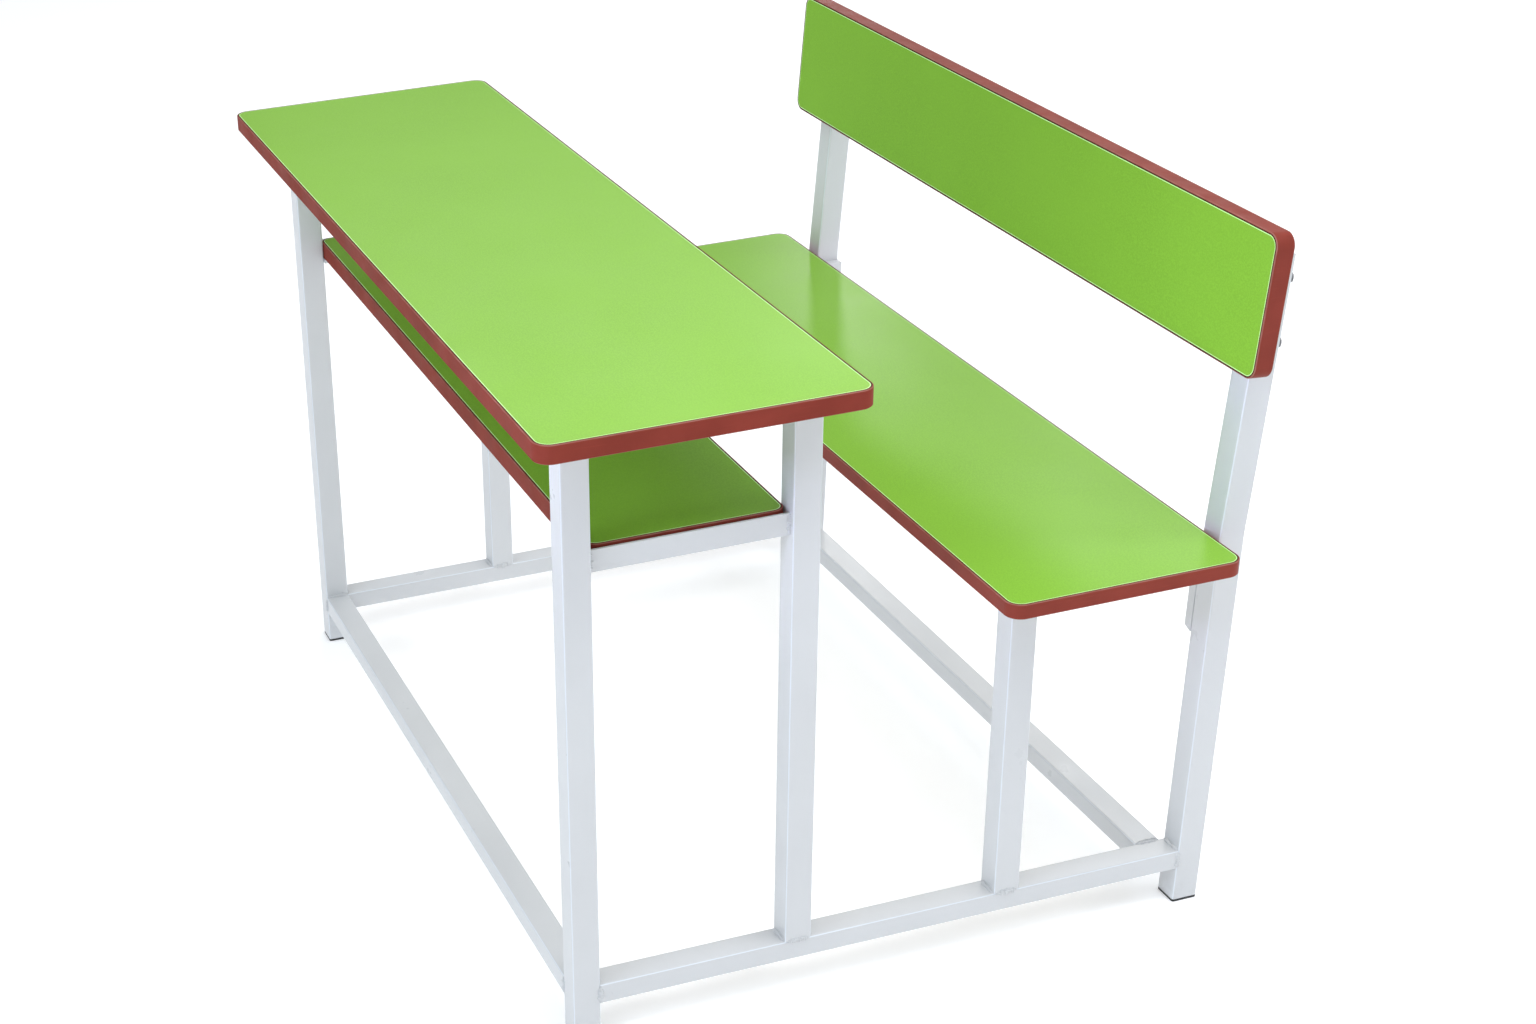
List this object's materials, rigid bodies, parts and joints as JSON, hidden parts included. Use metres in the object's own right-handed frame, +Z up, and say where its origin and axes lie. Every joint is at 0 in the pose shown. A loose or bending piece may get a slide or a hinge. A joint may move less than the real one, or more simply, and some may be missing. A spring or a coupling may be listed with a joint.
{
  "type": "dual desk bench",
  "caption": "School desk and bench joined in one welded tube frame, with a long desk top, an open book shelf, a bench seat and a leaning backrest board.",
  "frame": {"origin": "bottom centre of the bounding box: on the floor, midway between the ends and between the front edge of the desk top and the rearmost bolt heads", "axes": "+X along the length, towards the left hand of a pupil on the seat; +Y from the desk to the bench; +Z up"},
  "size_m": [1.216, 0.8822, 0.8374],
  "materials": {
    "green_laminate": "satin yellow-green high-pressure laminate with a very fine pebble texture",
    "backing_laminate": "plain beige backing laminate",
    "particle_board": "raw particle board, hidden inside the band and laminates",
    "edge_band": "satin red-brown plastic edge band",
    "painted_tube": "semi-gloss light grey powder coat on steel",
    "weld_bead": "powder coat over weld beads",
    "plastic_plug": "black moulded plastic",
    "plastic_cap": "light grey moulded plastic",
    "zinc_steel": "dull zinc-plated steel"
  },
  "bodies": {
    "root": {"desk_top_core": "particle_board", "desk_top_laminate": "green_laminate", "desk_top_backer": "backing_laminate", "desk_top_edge_band": "edge_band", "shelf_core": "particle_board", "shelf_laminate": "green_laminate", "shelf_backer": "backing_laminate", "shelf_edge_band": "edge_band", "seat_core": "particle_board", "seat_laminate": "green_laminate", "seat_backer": "backing_laminate", "seat_edge_band": "edge_band", "backrest_core": "particle_board", "backrest_laminate": "green_laminate", "backrest_backer": "backing_laminate", "backrest_edge_band": "edge_band", "desk_front_leg_left": "painted_tube", "desk_front_leg_right": "painted_tube", "desk_rear_post_left": "painted_tube", "desk_rear_post_right": "painted_tube", "seat_front_post_left": "painted_tube", "seat_front_post_right": "painted_tube", "rear_leg_left": "painted_tube", "rear_leg_right": "painted_tube", "side_rail_left": "painted_tube", "side_rail_right": "painted_tube", "desk_bearer_left": "painted_tube", "desk_bearer_right": "painted_tube", "seat_bearer_left": "painted_tube", "seat_bearer_right": "painted_tube", "shelf_angle_left": "painted_tube", "shelf_angle_right": "painted_tube", "seat_cleat_left": "painted_tube", "seat_cleat_right": "painted_tube", "front_stretcher": "painted_tube", "rear_stretcher": "painted_tube", "weld_beads_left": "weld_bead", "weld_beads_right": "weld_bead", "foot_plugs": "plastic_plug", "upright_plugs": "plastic_cap", "desk_screws": "zinc_steel", "shelf_screws": "zinc_steel", "seat_screws": "zinc_steel", "backrest_bolts": "zinc_steel", "backrest_spring_washers": "zinc_steel", "backrest_washers": "zinc_steel", "backrest_inserts": "zinc_steel"}
  },
  "joints": []
}
